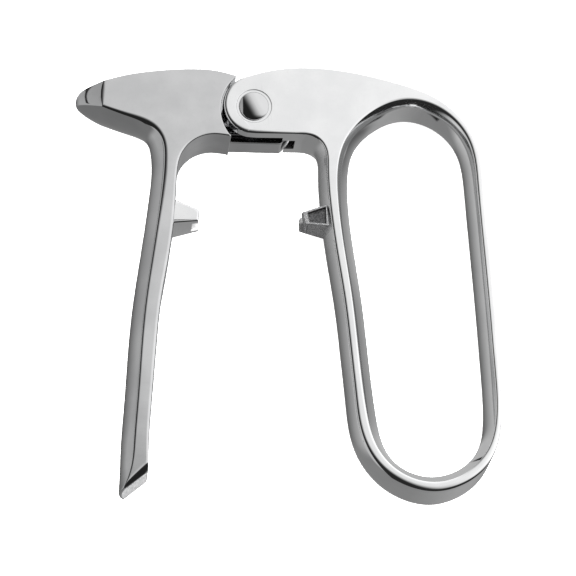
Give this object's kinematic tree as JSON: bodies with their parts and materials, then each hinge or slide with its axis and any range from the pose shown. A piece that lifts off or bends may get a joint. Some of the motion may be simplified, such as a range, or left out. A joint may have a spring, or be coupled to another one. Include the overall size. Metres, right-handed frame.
{
  "type": "lobster cracker",
  "caption": "Two-lever shellfish cracker: a thumb-nose palm lever and a finger-loop lever on one domed rivet, spring-opened, with facing cracking teeth.",
  "frame": {"origin": "on the rivet's axis, in the plane that the tool rests on when it lies flat on its back", "axes": "+Z out of the front face along the rivet's axis, +Y from the finger loop towards the hinge, +X from the palm lever towards the finger loop"},
  "size_m": [0.1341, 0.1408, 0.02],
  "materials": {
    "polished_lever": "mirror-polished chrome plate",
    "rivet_steel": "polished",
    "spring_steel": "drawn wire"
  },
  "bodies": {
    "loop_body": {"loop_lever": "polished_lever", "pivot_rivet": "rivet_steel", "torsion_spring": "spring_steel"},
    "palm_body": {"palm_lever": "polished_lever"}
  },
  "joints": [
    {"name": "palm_hinge", "type": "hinge", "parent": "loop_body", "child": "palm_body", "pos_m": [0, 0, 0.009], "axis": [0, 0, 1], "range_deg": [0, 32], "stiffness_Nm_per_rad": 0.35, "springref_deg": -28.65, "deforming": ["torsion_spring"]}
  ]
}
